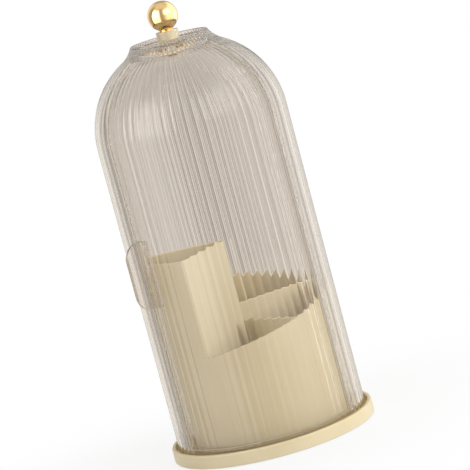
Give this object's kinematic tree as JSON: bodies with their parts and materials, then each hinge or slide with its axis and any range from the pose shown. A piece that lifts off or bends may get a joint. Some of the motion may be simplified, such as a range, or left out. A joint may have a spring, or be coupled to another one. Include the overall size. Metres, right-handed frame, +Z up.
{
  "type": "rotating makeup brush holder",
  "caption": "Tall domed holder: a divided tub with a climbing rim turns on a ball race in a round base, under a reeded clear cover with a sliding front door and a ball knob.",
  "frame": {"origin": "centre of the surface that the holder stands on, under the middle of the base", "axes": "+Z up along the turntable's axis, -Y towards the front of the door, +X to the right seen from the front"},
  "size_m": [0.145, 0.145, 0.3169],
  "materials": {
    "ivory_plastic": "satin moulded, warm ivory",
    "clear_plastic": "polished clear with a faint warm grey tint",
    "gold_plate": "mirror gold plate",
    "soft_pad": "matt soft pad",
    "white_nylon": "natural nylon",
    "clear_washer": "milky slip washer",
    "bearing_steel": "bright bearing steel",
    "screw_steel": "zinc-plated"
  },
  "bodies": {
    "base": {"base_tray": "ivory_plastic", "base_plate": "ivory_plastic", "base_screws": "screw_steel", "foot_pads": "soft_pad", "pivot_bush": "white_nylon"},
    "ball_ring": {"bearing_balls": "bearing_steel", "ball_cage": "white_nylon"},
    "tub": {"turntable_plate": "white_nylon", "pivot_screw": "screw_steel", "pivot_washer": "bearing_steel", "tub_shell": "ivory_plastic", "divider_insert": "ivory_plastic", "tub_screws": "screw_steel"},
    "cover": {"cover_shell": "clear_plastic", "door_track": "clear_plastic", "thrust_washer": "clear_washer", "retaining_washer": "clear_washer", "pivot_nut": "clear_plastic", "knob_stud": "gold_plate", "stud_sleeve": "ivory_plastic", "knob_collar": "gold_plate", "knob_ball": "gold_plate"},
    "door": {"door_shell": "clear_plastic", "door_tab": "clear_plastic", "door_bush": "clear_washer"}
  },
  "joints": [
    {"name": "tub_spin", "type": "hinge", "parent": "base", "child": "tub", "pos_m": [0, 0, 0.01], "axis": [0, 0, 1], "continuous": true},
    {"name": "ball_spin", "type": "hinge", "parent": "base", "child": "ball_ring", "pos_m": [0, 0, 0.0069], "axis": [0, 0, 1], "continuous": true},
    {"name": "cover_lift", "type": "slide", "parent": "base", "child": "cover", "axis": [0, 0, 1], "range_m": [0, 0.25]},
    {"name": "door_turn", "type": "hinge", "parent": "cover", "child": "door", "pos_m": [0, 0, 0.284], "axis": [0, 0, 1], "range_deg": [0, 112]}
  ],
  "couplings": [
    {"joint": "ball_spin", "follows": "tub_spin", "ratio": 0.5}
  ]
}
